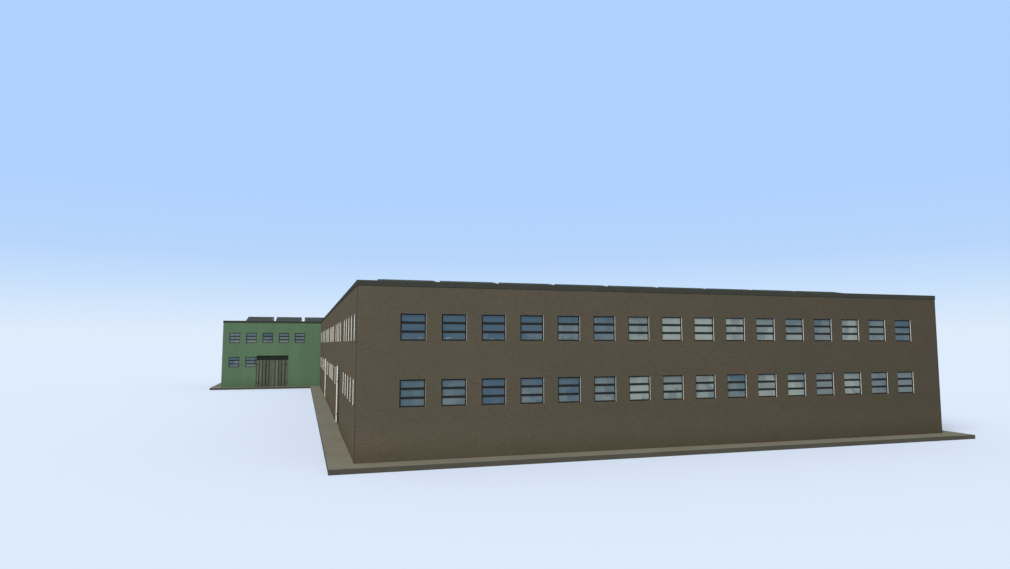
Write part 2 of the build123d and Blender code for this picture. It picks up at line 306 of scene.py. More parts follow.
def windows_on(wall, windows, outward):
    """A glazed wall's plane, each opening's a and b spans as rows of four, and the panes' recess."""
    plane = wall_plane(wall, outward)
    points = plane.local(node_points(windows))
    openings = [
        np.column_stack([sides, np.tile(row, (len(sides), 1))])
        for row, sides in rows_of(windows, points)
    ]
    return plane, np.concatenate(openings), -points[:, 2].max()


def at(a, b, n):
    """Points from their a, b and n, each one number for all points or one for each."""
    return np.stack(np.broadcast_arrays(a, b, n), -1).astype(float)


def ring_faces(copies, corners, points):
    """Quads between each corner's profile and the next corner's, for every copy of the ring."""
    copy, corner, point = np.meshgrid(
        np.arange(copies), np.arange(corners), np.arange(points), indexing="ij"
    )
    beside = (point + 1) % points
    here, following = copy * corners + corner, copy * corners + (corner + 1) % corners
    quads = [
        here * points + point, here * points + beside,
        following * points + beside, following * points + point,
    ]
    return [np.stack(quads, -1).reshape(-1, 4)]


def rings(plane, rectangles, profile):
    """A closed profile carried round rectangles with mitred corners.

    A profile point (i, n) stands i inside the rectangle's outline on both axes and n out of the
    plane, so corner k is at its own (a, b) plus i times its inward signs.
    """
    profile = np.array(profile)
    a, b = rectangles[:, [0, 1, 1, 0]], rectangles[:, [2, 2, 3, 3]]
    inward_a, inward_b = np.array([1, -1, -1, 1]), np.array([1, 1, -1, -1])
    inset, out = profile[:, 0], profile[:, 1]
    points = at(
        a[:, :, None] + inward_a[:, None] * inset, b[:, :, None] + inward_b[:, None] * inset, out
    )
    return plane.world(points), ring_faces(len(rectangles), 4, len(profile))


def prisms(plane, starts, ends, section, side):
    """Straight closed bars: a section carried from each start to each end.

    The section's first number goes along side and its second along the path crossed with side, so
    a point is start or end, plus p times side, plus q times that cross product.
    """
    starts, ends = np.atleast_2d(starts).astype(float), np.atleast_2d(ends).astype(float)
    section = np.array(section, float)
    path = ends[0] - starts[0]
    other = np.cross(path / np.linalg.norm(path), side)
    across = section[:, :1] * side + section[:, 1:] * other
    count, sides = len(starts), len(section)
    points = np.stack([starts[:, None] + across, ends[:, None] + across], 1)
    foot, point = np.meshgrid(np.arange(count) * 2 * sides, np.arange(sides), indexing="ij")
    beside = (point + 1) % sides
    walls = np.stack([foot + point, foot + beside, foot + sides + beside, foot + sides + point], -1)
    return plane.world(points), [walls.reshape(-1, 4), foot + point[:, ::-1], foot + sides + point]


def chamfered(p, q, cut):
    """A rectangle from p[0] to p[1] and q[0] to q[1] with its four corners cut off, anticlockwise."""
    (p0, p1), (q0, q1) = p, q
    return [
        (p0 + cut, q0), (p1 - cut, q0), (p1, q0 + cut), (p1, q1 - cut),
        (p1 - cut, q1), (p0 + cut, q1), (p0, q1 - cut), (p0, q0 + cut),
    ]


def circle(radius, sides):
    """A regular polygon: radius times the cosine and sine of equal turns."""
    turn = np.arange(sides) * 2 * np.pi / sides
    return radius * np.column_stack([np.cos(turn), np.sin(turn)])


# A block's first four corners go round its bottom and the next four round its top
BLOCK_POINTS = 8
BLOCK_A, BLOCK_B, BLOCK_N = [0, 1, 1, 0] * 2, [0, 0, 1, 1] * 2, [0] * 4 + [1] * 4
BLOCK_FACES = np.array([
    (3, 2, 1, 0), (4, 5, 6, 7), (0, 1, 5, 4), (1, 2, 6, 5), (2, 3, 7, 6), (3, 0, 4, 7),
])


def slabs(plane, a, b, n):
    """Plain boxes from spans in the plane, each span an array of rows (low, high)."""
    a, b, n = (np.atleast_2d(part).astype(float) for part in (a, b, n))
    points = at(a[:, BLOCK_A], b[:, BLOCK_B], n[:, BLOCK_N])
    faces = (np.arange(len(points))[:, None, None] * BLOCK_POINTS + BLOCK_FACES).reshape(-1, 4)
    return plane.world(points), [faces]


# Finishes

class Nodes:
    """A node tree, whose nodes are made, set and linked in one call each."""

    def __init__(self, tree):
        self.tree = tree

    def node(self, kind, **inputs):
        """A new node, with the inputs that are named given a value or a link."""
        made = self.tree.nodes.new(kind)
        for name, value in inputs.items():
            self.feed(made.inputs[name.replace("_", " ")], value)
        return made

    def feed(self, socket, value):
        """Links another node's output to a socket, or sets it to a plain value."""
        if isinstance(value, bpy.types.NodeSocket):
            self.tree.links.new(value, socket)
        else:
            socket.default_value = value

    def math(self, operation, first, second):
        """Two numbers added, multiplied or otherwise joined."""
        made = self.node("ShaderNodeMath")
        made.operation = operation
        self.feed(made.inputs[0], first)
        self.feed(made.inputs[1], second)
        return made.outputs["Value"]

    def parts(self, vector):
        """The X, Y and Z of a vector."""
        split = self.node("ShaderNodeSeparateXYZ", Vector=vector)
        return split.outputs["X"], split.outputs["Y"], split.outputs["Z"]

    def ramp(self, value, stops, smooth=False):
        """A colour for each position from 0 to 1."""
        made = self.node("ShaderNodeValToRGB", Fac=value)
        line = made.color_ramp
        line.interpolation = "EASE" if smooth else "LINEAR"
        line.elements.remove(line.elements[1])
        line.elements[0].position, line.elements[0].color = stops[0][0], (*stops[0][1], 1)
        for position, shade in stops[1:]:
            line.elements.new(position).color = (*shade, 1)
        return made.outputs["Color"]


class Finish(Nodes):
    """A procedural material: nodes that read Object coordinates and feed one Principled shader."""

    def __init__(self, name, roughness, specular, metallic=0.0):
        self.material = bpy.data.materials.new(name)
        self.material.use_nodes = True
        super().__init__(self.material.node_tree)
        self.shader = self.tree.nodes["Principled BSDF"]
        self.shader.inputs["Roughness"].default_value = roughness
        self.shader.inputs["Metallic"].default_value = metallic
        self.shader.inputs["Specular IOR Level"].default_value = specular
        self.place = self.node("ShaderNodeTexCoord").outputs["Object"]

    def stretched(self, scale):
        """Object coordinates times scale on each axis."""
        return self.node("ShaderNodeMapping", Vector=self.place, Scale=scale).outputs["Vector"]

    def shade(self):
        """The shade that each point of a piece was given."""
        made = self.node("ShaderNodeAttribute")
        made.attribute_name = "shade"
        return made.outputs["Fac"]

    def noise(self, scale, detail, stretch=(1, 1, 1)):
        """Soft noise from 0 to 1, with scale spots to the metre."""
        vector = self.stretched(stretch)
        return self.node("ShaderNodeTexNoise", Vector=vector, Scale=scale, Detail=detail).outputs["Fac"]

    def cells(self, scale, stretch=(1, 1, 1), distance="EUCLIDEAN"):
        """Random value of each cell, and the distance to its middle."""
        made = self.node("ShaderNodeTexVoronoi", Vector=self.stretched(stretch), Scale=scale)
        made.distance = distance
        red = self.node("ShaderNodeSeparateColor", Color=made.outputs["Color"]).outputs["Red"]
        return red, made.outputs["Distance"]

    def step(self, value, low, high):
        """0 at low, 1 at high, a straight line between them and level beyond them."""
        made = self.node("ShaderNodeMapRange", Value=value, From_Min=low, From_Max=high)
        return made.outputs["Result"]

    def mix(self, factor, first, second, blend="MIX"):
        """The first colour where factor is 0 and the second where it is 1, or blended otherwise."""
        made = self.node("ShaderNodeMix")
        made.data_type = "RGBA"
        made.blend_type = blend
        self.feed(made.inputs["Factor"], factor)
        colours = [socket for socket in made.inputs if socket.type == "RGBA"]
        for socket, value in zip(colours, (first, second)):
            self.feed(socket, value if isinstance(value, bpy.types.NodeSocket) else (*value, 1))
        return next(socket for socket in made.outputs if socket.type == "RGBA")

    def shaded(self, base, value, amount):
        """The colour times 1 - amount where value is 0, and times 1 + amount where it is 1."""
        grey = self.ramp(value, [(0.0, (1 - amount,) * 3), (1.0, (1 + amount,) * 3)])
        return self.mix(1.0, base, grey, "MULTIPLY")

    def bump(self, height, distance, strength):
        """Relief: height times distance, in metres."""
        made = self.node("ShaderNodeBump", Height=height, Distance=distance, Strength=strength)
        self.feed(self.shader.inputs["Normal"], made.outputs["Normal"])

    def roughen(self, value, low, high):
        """Roughness from low where value is 0 to high where it is 1."""
        made = self.node("ShaderNodeMapRange", Value=value, To_Min=low, To_Max=high)
        self.feed(self.shader.inputs["Roughness"], made.outputs["Result"])

    def paint(self, value):
        """The finished material, with its colour."""
        self.feed(self.shader.inputs["Base Color"], value)
        return self.material


def brighter(shade, factor):
    """A colour times a factor."""
    return tuple(part * factor for part in shade)


def brown_brick(tints, sizes):
    """Rough brown brickwork.

    Half-bond courses lie along x + y, which runs on round the corners. Each brick has its own tint
    between two browns, and over them lie olive patches, pale and dark grit and fine grain. Painted
    shade darkens the wall by a straight line from its left end to its right, and painted light makes
    its foot a little paler.
    """
    finish = Finish("brown_brick", roughness=0.9, specular=0.0)
    x, y, z = finish.parts(finish.place)
    courses = finish.node("ShaderNodeCombineXYZ", X=finish.math("ADD", x, y), Y=z).outputs["Vector"]
    bricks = finish.node(
        "ShaderNodeTexBrick", Vector=courses, Scale=1.0, Mortar_Size=sizes.joint / 2, Mortar_Smooth=0.2,
        Bias=0.0, Brick_Width=sizes.brick, Row_Height=sizes.course,
        Color1=(*brighter(tints.brown, 0.94), 1), Color2=(*brighter(tints.brown, 1.06), 1),
        Mortar=(*brighter(tints.brown, 0.88), 1),
    )
    patches = finish.step(finish.noise(0.55, 3.0), 0.42, 0.60)
    base = finish.mix(finish.math("MULTIPLY", patches, 0.7), bricks.outputs["Color"], tints.olive)
    base = finish.shaded(base, finish.noise(2.2, 4.0), 0.07)
    grit, distance = finish.cells(46.0)
    middle = finish.step(distance, 0.55, 0.25)
    pale = finish.math("MULTIPLY", finish.step(grit, 0.88, 0.95), middle)
    dark = finish.math("MULTIPLY", finish.step(grit, 0.13, 0.06), middle)
    base = finish.mix(pale, base, brighter(tints.brown, 1.44))
    base = finish.mix(dark, base, brighter(tints.brown, 0.68))
    base = finish.shaded(base, finish.noise(150.0, 2.0), 0.30)
    low, high = node_box("front_wall")
    foot_light_height = 1.1
    # Painted shade: the wall darkens by a straight line from its left end to its right
    base = finish.shaded(base, finish.step(x, high[0], low[0]), 0.14)
    # Painted light: the wall is up to a tenth paler near its foot, fading out 1.1 m up
    dust_and_foot_light = finish.math("ADD", 0.5, finish.step(z, low[2] + foot_light_height, low[2]))
    base = finish.shaded(base, dust_and_foot_light, 0.10)
    grain = finish.math("MULTIPLY", finish.noise(90.0, 3.0), 0.8)
    height = finish.math("SUBTRACT", finish.math("SUBTRACT", grain, distance), bricks.outputs["Fac"])
    finish.bump(height, 0.004, 0.7)
    finish.roughen(grit, 0.82, 0.95)
    return finish.paint(base)


def green_render(green):
    """Green masonry paint: soft run-down streaks, a fine grain, and paler toward the long block.

    The paleness is painted light against the shade in the corner beside the long block; it grows
    by a straight line from the cross block's left end to the long block's wall.
    """
    finish = Finish("green_render", roughness=0.75, specular=0.0)
    streaks = finish.noise(1.6, 4.0, stretch=(1, 1, 0.18))
    base = finish.shaded(green, streaks, 0.14)
    worn = finish.step(finish.noise(0.7, 5.0), 0.60, 0.85)
    base = finish.mix(worn, base, brighter(green, 0.86))
    base = finish.shaded(base, finish.noise(60.0, 3.0), 0.10)
    # Painted light: paler toward the long block, against the shade in the corner
    left, right = node_box("wing_end_wall")[0][0], node_box("front_wall")[0][0]
    base = finish.shaded(base, finish.step(finish.parts(finish.place)[0], left, right), 0.07)
    finish.bump(finish.noise(110.0, 4.0), 0.002, 0.5)
    finish.roughen(streaks, 0.65, 0.85)
    return finish.paint(base)


def concrete(name, base, grain=0.14, sides=1.0):
    """Cast concrete: blotches, small pores and fine sand, with painted shade in the pores
    and on its upright sides, which are darker by a factor.
    """
    finish = Finish(name, roughness=0.85, specular=0.05)
    level = finish.parts(finish.node("ShaderNodeNewGeometry").outputs["Normal"])[2]
    blotch = finish.noise(0.9, 5.0)
    # Painted shade: upright faces take the colour times sides, while level faces keep it
    made = finish.mix(level, brighter(base, sides), base)
    made = finish.shaded(made, blotch, grain * 1.4)
    made = finish.shaded(made, finish.noise(24.0, 4.0), grain)
    # Painted shade: each pore is painted darker in its hollow, as well as dented
    pore, distance = finish.cells(130.0)
    pore = finish.math("MULTIPLY", finish.step(pore, 0.90, 0.96), finish.step(distance, 0.5, 0.3))
    made = finish.mix(pore, made, brighter(base, 0.62))
    finish.bump(finish.math("SUBTRACT", finish.noise(80.0, 5.0), pore), 0.003, 0.5)
    finish.roughen(blotch, 0.75, 0.95)
    return finish.paint(made)


def painted(name, base, roughness, specular=0.15, metallic=0.0):
    """Old paint on metal or timber: uneven gloss, faint runs and dust."""
    finish = Finish(name, roughness, specular, metallic)
    runs = finish.noise(3.0, 4.0, stretch=(1, 1, 0.3))
    made = finish.shaded(base, runs, 0.12)
    made = finish.shaded(made, finish.noise(45.0, 3.0), 0.096)
    dust_and_foot_light = finish.step(finish.noise(7.0, 5.0), 0.58, 0.80)
    made = finish.mix(dust_and_foot_light, made, brighter(base, 1.35))
    finish.bump(finish.noise(120.0, 3.0), 0.0008, 0.4)
    finish.roughen(runs, roughness - 0.12, roughness + 0.15)
    return finish.paint(made)


def window_glass(tints, sizes):
    """Window glass with a painted reflection of sky or cloud: shade says how much cloud a pane has.

    A slow drift and sharp-edged patches, as of things behind the glass, are added to shade, more
    where there is more cloud, and short pale glints lie low in the upper storey's windows.
    """
    finish = Finish("window_glass", roughness=0.3, specular=0.05)
    level = finish.shade()
    drift = finish.noise(2.4, 3.0, stretch=(1, 1, 0.6))
    patch, _ = finish.cells(2.6, stretch=(1.3, 1, 1), distance="CHEBYCHEV")
    sway = finish.math("ADD", level, 0.35)
    for part, amount in ((drift, 0.4), (patch, 0.34)):
        around = finish.math("MULTIPLY", finish.math("SUBTRACT", part, 0.5), amount)
        level = finish.math("ADD", level, finish.math("MULTIPLY", around, sway))
    # The panes' colour is a painted reflection: blue for clear sky, pale for cloud
    blue, pale = tints.painted_sky_reflection, tints.painted_cloud_reflection
    middle = tuple((low + high) / 2 * 0.92 for low, high in zip(blue, pale))
    base = finish.ramp(level, [(0.05, blue), (0.50, middle), (0.95, pale)], smooth=True)
    # The glints' band fades in over 3 cm under its foot, and out over 4 cm at its head
    z = finish.parts(finish.place)[2]
    foot = node_box("front_windows")[1][2] - sizes.glint_drop
    above, below = finish.step(z, foot - 0.03, foot), finish.step(z, foot + 0.06, foot + 0.02)
    band = finish.math("MULTIPLY", above, below)
    glint = finish.step(finish.noise(9.0, 2.0, stretch=(1, 1, 3)), 0.60, 0.68)
    glint = finish.math("MULTIPLY", band, finish.math("MULTIPLY", glint, 0.55))
    base = finish.mix(glint, base, brighter(pale, 1.5))
    finish.bump(finish.noise(5.0, 2.0), 0.002, 0.25)
    return finish.paint(base)


def gate_boards(name, base):
    """Weathered painted boards: upright grain, each board its own shade, and soft stains."""
    finish = Finish(name, roughness=0.75, specular=0.0)
    grain = finish.noise(70.0, 4.0, stretch=(1, 1, 0.06))
    made = finish.shaded(base, finish.shade(), 0.22)
    made = finish.shaded(made, grain, 0.30)
    made = finish.shaded(made, finish.noise(5.0, 4.0, stretch=(1, 1, 0.35)), 0.22)
    finish.bump(grain, 0.002, 0.6)
    finish.roughen(grain, 0.6, 0.9)
    return finish.paint(made)


def roof_felt(felt):
    """Grey mineral felt: grit, damp marks and rolls that lap every metre along the depth."""
    finish = Finish("roof_felt", roughness=0.9, specular=0.2)
    grit = finish.noise(160.0, 2.0)
    base = finish.shaded(felt, finish.noise(0.5, 5.0), 0.25)
    base = finish.shaded(base, grit, 0.25)
    wave = finish.node("ShaderNodeTexWave", Vector=finish.place, Scale=0.314, Distortion=0.15)
    wave.bands_direction = "Y"
    lap = finish.step(wave.outputs["Fac"], 0.985, 1.0)
    base = finish.mix(lap, base, brighter(felt, 0.55))
    finish.bump(finish.math("ADD", lap, finish.math("MULTIPLY", grit, 0.3)), 0.004, 0.6)
    return finish.paint(base)


def rooflight_glass(roof_glass):
    """Wired rooflight glass: dull, dusty and streaked down the slope."""
    finish = Finish("rooflight_glass", roughness=0.6, specular=0.01)
    dust_and_foot_light = finish.noise(4.0, 4.0, stretch=(1, 0.2, 1))
    base = finish.shaded(roof_glass, dust_and_foot_light, 0.25)
    base = finish.shaded(base, finish.noise(30.0, 3.0), 0.10)
    finish.bump(finish.noise(90.0, 2.0), 0.0006, 0.4)
    finish.roughen(dust_and_foot_light, 0.5, 0.8)
    return finish.paint(base)


def dress(material, *nodes):
    """Gives CAD nodes that keep their shape a finish."""
    for node in nodes:
        mesh = frame["nodes"][node].data
        mesh.materials.clear()
        mesh.materials.append(material)


# Windows

def inset(rectangles, amount):
    """Rectangles of (low a, high a, low b, high b), drawn in by an amount on all four sides."""
    return rectangles + np.array([amount, -amount, amount, -amount])


def reveal_lining(plane, openings, thick, back, front):
    """Plaster on the jambs and under the heads of openings, from one depth in the wall to another."""
    left, right, sill, head = openings.T
    shape = Shape()
    for a, b in (
        ((left, left + thick), (sill, head)),
        ((right - thick, right), (sill, head)),
        ((left + thick, right - thick), (head - thick, head)),
    ):
        shape.add(*slabs(plane, np.column_stack(a), np.column_stack(b), (back, front)))
    return shape


def sash_openings(openings, sizes):
    """The rectangles of all sashes, and their height.

    The clear height inside a window's frame, less its transoms, is shared out evenly.
    """
    clear, count = inset(openings, sizes.frame), sizes.panes
    height = (clear[:, 3] - clear[:, 2] - (count - 1) * sizes.transom) / count
    low = clear[:, 2, None] + np.arange(count) * (height[:, None] + sizes.transom)
    sides = np.repeat(clear[:, :2], count, axis=0)
    return np.column_stack([sides, low.ravel(), (low + height[:, None]).ravel()]), height[0]


def window_frames(plane, openings, recess, sizes):
    """Outer frames, and inside them the sashes and the transoms between them.

    Frames and sashes are rings, and a transom is a bar on the head of each sash but the highest.
    """
    front, back, cut = -recess, -recess - sizes.depth, sizes.chamfer
    set_back, clearance = 0.004, 0.0008
    shape = Shape().add(*rings(plane, openings, [
        (sizes.lining, back), (sizes.frame, back), (sizes.frame, front - cut),
        (sizes.frame - cut, front), (sizes.lining, front),
    ]))
    sashes, height = sash_openings(openings, sizes)
    shape.add(*rings(plane, sashes, [
        (clearance, back + set_back), (sizes.sash, back + set_back),
        (sizes.sash, front - set_back - 2 * cut), (sizes.sash - 2 * cut, front - set_back),
        (clearance, front - set_back),
    ]))
    left, right, sill, _ = inset(openings, sizes.frame).T
    section = chamfered((0.0, sizes.transom), (back, front), cut)
    for place in range(sizes.panes - 1):
        low = sill + height + place * (height + sizes.transom)
        shape.add(*prisms(plane, at(left, low, 0), at(right, low, 0), section, ACROSS))
    return shape


def cloud_shades(openings, seed, level=None):
    """How much cloud each window mirrors: its wall's level and chance, with a little more low down.

    Where no level is given, a broad bump of cloud stands in the wall. With t from 0 to 1 along the
    wall, the bump is e to the minus fourth power of (t - 0.60) / 0.30, on 0.08 to the left of its
    middle and on 0.30 to the right, with 0.10 more in the lower row, and it lifts them to 0.65.
    """
    chance = np.random.default_rng(seed).uniform(-0.30, 0.30, len(openings))
    if level is not None:
        return level + 0.4 * chance
    middle, reach, most = 0.60, 0.30, 0.65
    along = (openings[:, 0] - openings[:, 0].min()) / np.ptp(openings[:, 0])
    bump = np.exp(-((along - middle) / reach) ** 4)
    low = np.where(along < middle, 0.08, 0.30) + 0.10 * (openings[:, 2] == openings[:, 2].min())
    return np.clip(low + (most - low) * bump + chance * (0.2 + bump), 0.0, 1.0)


def window_panes(plane, openings, recess, sizes, shades, seed):
    """One pane in each sash, held a little way inside its rails.

    A pane's shade is its window's, plus a straight run from 0.06 at the bottom to -0.05 at the top,
    plus a chance of up to 0.08 either way.
    """
    held = 0.003
    glass = inset(sash_openings(openings, sizes)[0], sizes.sash - held)
    middle = -recess - sizes.depth / 2
    depths = (middle - sizes.glass / 2, middle + sizes.glass / 2)
    shades = np.repeat(shades, sizes.panes)
    shades += np.tile(np.linspace(0.06, -0.05, sizes.panes), len(openings))
    shades += np.random.default_rng(seed).uniform(-0.08, 0.08, len(shades))
    points, faces = slabs(plane, glass[:, :2], glass[:, 2:], depths)
    return Shape().add(points, faces, np.repeat(shades, BLOCK_POINTS))


class FACTORY_OT_windows(bpy.types.Operator):
    """Add the frames, sashes, transoms, panes and reveal linings of every wall"""

    bl_idname = "factory.windows"
    bl_label = "Windows"

    def execute(self, context):
        sizes, tints = context.scene.factory_windows, context.scene.factory_colours
        paint = painted("window_paint", tints.frames, roughness=0.6, specular=0.03)
        glass = window_glass(tints, sizes)
        plaster = concrete("reveal_plaster", tints.lining, grain=0.05)
        for seed, (name, (wall, windows, outward)) in enumerate(GLAZED_WALLS.items()):
            plane, openings, recess = windows_on(wall, windows, outward)
            lining = reveal_lining(plane, openings, sizes.lining, -recess, -sizes.arris)
            lining.piece(f"{name}_window_linings", plaster, "reveal_lining")
            frames = window_frames(plane, openings, recess, sizes)
            frames.piece(f"{name}_window_frames", paint, "window_frame")
            if name == "front":
                shades = cloud_shades(openings, sizes.cloud)
            else:
                shades = cloud_shades(openings, seed, level=0.38)
            panes = window_panes(plane, openings, recess, sizes, shades, seed + PANE_SEEDS)
            panes.piece(f"{name}_window_panes", glass, "window_glass", replaces=(windows,))
        return {"FINISHED"}


# Walls

def corner_beads(sizes):
    """Two thin upright strips on each front corner, one on each face."""
    low, high = node_box("front_wall")
    thick, reach = sizes.bead_thickness, sizes.bead
    left, right, front = low[0], high[0], low[1]
    a = [
        (left - thick, left + reach), (left - thick, left),
        (right - reach, right + thick), (right, right + thick),
    ]
    b = [(front - thick, front), (front, front + reach)] * 2
    return Shape().add(*slabs(Plane((0, 0, 0), ALONG, ACROSS), a, b, (low[2], high[2])))


class FACTORY_OT_walls(bpy.types.Operator):
    """Give the walls, floors and plinth their finishes, and add the beads on the front corners"""

    bl_idname = "factory.walls"
    bl_label = "Walls, floors and plinth"

    def execute(self, context):
        sizes, tints = context.scene.factory_walls, context.scene.factory_colours
        bead_paint = painted("bead_paint", tints.bead, roughness=0.7, specular=0.03)
        corner_beads(sizes).piece("corner_beads", bead_paint, "brown_brick")
        dress(brown_brick(tints, sizes), *BROWN_WALLS)
        dress(green_render(tints.green), *GREEN_WALLS)
        # The plinth's upright sides carry painted shade, 0.41 times its colour
        dress(concrete("plinth_concrete", tints.concrete, sides=0.41), "plinth_main", "plinth_rear")
        floors = concrete("floor_concrete", brighter(tints.concrete, 1.2))
        dress(floors, "main_upper_floor", "rear_upper_floor")
        return {"FINISHED"}


# Gates

def gateway_lining(plane, leaves, sizes):
    """Plaster on both jambs and under the head, from just inside the wall's face to the header panel.

    The gateway is as wide and as high as the panel over the leaves: the one that is near the wall's
    face and no further than a margin beside them.
    """
    margin, near, gap = 0.1, 1.0, 0.0005
    across = plane.local(np.concatenate([node_points(leaf) for leaf in leaves]))[:, 0]
    panels = plane.local(node_points("gate_headers"))
    beside = (panels[:, 0] > across.min() - margin) & (panels[:, 0] < across.max() + margin)
    panel = panels[beside & (np.abs(panels[:, 2]) < near)]
    left, (right, head, front) = panel[:, 0].min(), panel.max(0)
    opening = np.array([[left, right, node_box("front_wall")[0][2], head]])
    return reveal_lining(plane, opening, sizes.lining, front + gap, -gap)


class Leaf:
    """A gate leaf, measured in its wall's plane.

    low and high are its corners, front is its boards' face, pivot its pin, hinges their heights,
    and toward is 1 where it reaches from the pin to higher a, and -1 otherwise.
    """

    def __init__(self, body, plane, sizes):
        points = plane.local(node_points(body))
        places = {joint["child"]: joint["pos_m"] for joint in frame["joints"]}
        self.plane, self.sizes = plane, sizes
        self.low, self.high = points.min(0), points.max(0)
        self.front = self.low[2] + sizes.leaf
        self.pivot = plane.local(np.array(places[body]))
        self.toward = 1.0 if self.pivot[0] < (self.low[0] + self.high[0]) / 2 else -1.0
        self.hinges = spans(points[points[:, 2] > self.front + NEAR, 1])

    def front_boards(self, random):
        """Upright boards, evenly spaced from edge to edge, each with a shade by chance."""
        sizes = self.sizes
        left = np.linspace(self.low[0], self.high[0] - sizes.board, sizes.boards)
        section = chamfered((-sizes.layer, 0.0), (0.0, sizes.board), sizes.chamfer)
        starts, ends = (at(left, level, self.front) for level in (self.low[1], self.high[1]))
        shades = np.repeat(random.uniform(0, 1, sizes.boards), 2 * len(section))
        return Shape().add(*prisms(self.plane, starts, ends, section, OUTWARD), shades)

    def back_boards(self, random):
        """A layer of thin upright boards that shows between the front ones, with gaps between them."""
        layer, side_room, end_room, half_gap = self.sizes.layer, 0.004, 0.002, 0.001
        edges = np.linspace(self.low[0] + side_room, self.high[0] - side_room, 2 * self.sizes.boards)
        sides = np.column_stack([edges[:-1] + half_gap, edges[1:] - half_gap])
        points, faces = slabs(
            self.plane, sides, (self.low[1] + end_room, self.high[1] - end_room),
            (self.front - 2 * layer, self.front - layer),
        )
        return Shape().add(points, faces, np.repeat(random.uniform(0, 1, len(sides)), BLOCK_POINTS))

    def ledges(self):
        """Three level ledges and two braces that rise away from the hinges, on the leaf's back.

        The ledges stand at shares of the leaf's height, and a brace runs from over one ledge to
        under the next.
        """
        sizes, low, high = self.sizes, self.low, self.high
        margin, shares, inner = 0.03, (0.08, 0.5, 0.92), 0.9 * sizes.ledge
        ledge_shade, brace_shade = 0.4, 0.6
        face, thick, half = self.front - 2 * sizes.layer, sizes.leaf - 2 * sizes.layer, sizes.ledge / 2
        levels = np.array(shares) * (high[1] - low[1]) + low[1]
        section = chamfered((-thick, 0.0), (-half, half), sizes.chamfer)
        starts, ends = at(low[0] + margin, levels, face), at(high[0] - margin, levels, face)
        shape = Shape().add(*prisms(self.plane, starts, ends, section, OUTWARD), ledge_shade)
        pinned, free = (low[0], high[0]) if self.toward > 0 else (high[0], low[0])
        for lower, upper in zip(levels[:-1], levels[1:]):
            start = (pinned + self.toward * inner, lower + half, face)
            end = (free - self.toward * inner, upper - half, face)
            shape.add(*prisms(self.plane, start, end, section, OUTWARD), brace_shade)
        return shape

    def straps(self):
        """Strap hinges: an eye round the pin, a tapering strap over the boards and its bolts.

        A strap is as high as its hinge at the pin and narrows by a straight line to its end, and
        the bolts stand at shares of its reach.
        """
        sizes, front, start, toward = self.sizes, self.front, self.pivot[0], self.toward
        taper, shares, bolt_sides = 0.55, np.array([0.35, 0.62, 0.88]), 8
        outer, end = front + sizes.strap, start + toward * sizes.strap_reach
        shape = Shape()
        for low, high in self.hinges:
            shape.add(*self.eye(low, high))
            middle, half = (low + high) / 2, (high - low) / 2
            tip = half * taper
            outline = np.array([
                (start, middle - half), (end, middle - tip),
                (end, middle + tip), (start, middle + half),
            ])
            a, b = outline[::int(toward)].T
            shape.add(self.plane.world(at(a, b, [[front], [outer]])), [BLOCK_FACES])
            places = start + toward * shares * sizes.strap_reach
            feet, tops = at(places, middle, outer), at(places, middle, outer + sizes.bolt_head)
            shape.add(*prisms(self.plane, feet, tops, circle(sizes.bolt, bolt_sides), ALONG))
        return shape

    def eye(self, low, high):
        """A tube round the pin: two circles at two levels, joined outside, inside and at both ends."""
        outer, inner, sides = self.sizes.eye, self.sizes.bore, 20
        radii = np.array([outer, outer, inner, inner])[:, None]
        levels = np.array([low, high, high, low])[:, None]
        across, out = circle(1.0, sides).T
        points = at(self.pivot[0] + radii * across, levels, self.pivot[2] - radii * out)
        return self.plane.world(points), ring_faces(1, 4, sides)


class FACTORY_OT_gates(bpy.types.Operator):
    """Add the boards, ledges, straps and bolts of the gate leaves, and the plaster of the gateways"""

    bl_idname = "factory.gates"
    bl_label = "Gates"

    def execute(self, context):
        sizes, tints = context.scene.factory_gates, context.scene.factory_colours
        back_boards = gate_boards("gate_back_boards", tints.dark_boards)
        pale_boards = gate_boards("gate_pale_boards", tints.boards)
        shaded_boards = gate_boards("gate_brown_boards", tints.shaded_side_boards)
        iron = painted("gate_iron", tints.iron, roughness=0.5, metallic=0.6)
        plaster = concrete("gateway_plaster", tints.lining, grain=0.05)
        header = painted("gate_header_paint", tints.header, roughness=0.6, specular=0.05)
        dress(header, "gate_headers")
        dress(iron, "gate_hinge_pins")
        seed = FIRST_LEAF_SEED
        for name, (wall, *leaves) in GATES.items():
            face, _, outward = GLAZED_WALLS[wall]
            plane = wall_plane(face, outward)
            # The other gates' boards are darkened by painted shade, so the gate in the green wall is
            # paler, and its jambs are dark
            in_green = face in GREEN_WALLS
            front_boards, jambs = (pale_boards, header) if in_green else (shaded_boards, plaster)
            gateway_lining(plane, leaves, sizes).piece(f"{name}_lining", jambs, "reveal_lining")
            for body in leaves:
                leaf, random = Leaf(body, plane, sizes), np.random.default_rng(seed)
                boards = leaf.front_boards(random)
                boards.piece(f"{body}_front_boards", front_boards, "gate_boards", body, (body,))
                leaf.back_boards(random).piece(f"{body}_back_boards", back_boards, "gate_boards", body)
                leaf.ledges().piece(f"{body}_ledges", back_boards, "gate_boards", body)
                leaf.straps().piece(f"{body}_straps", iron, "ironwork", body)
                seed += 1
        return {"FINISHED"}


# Copings and roofs

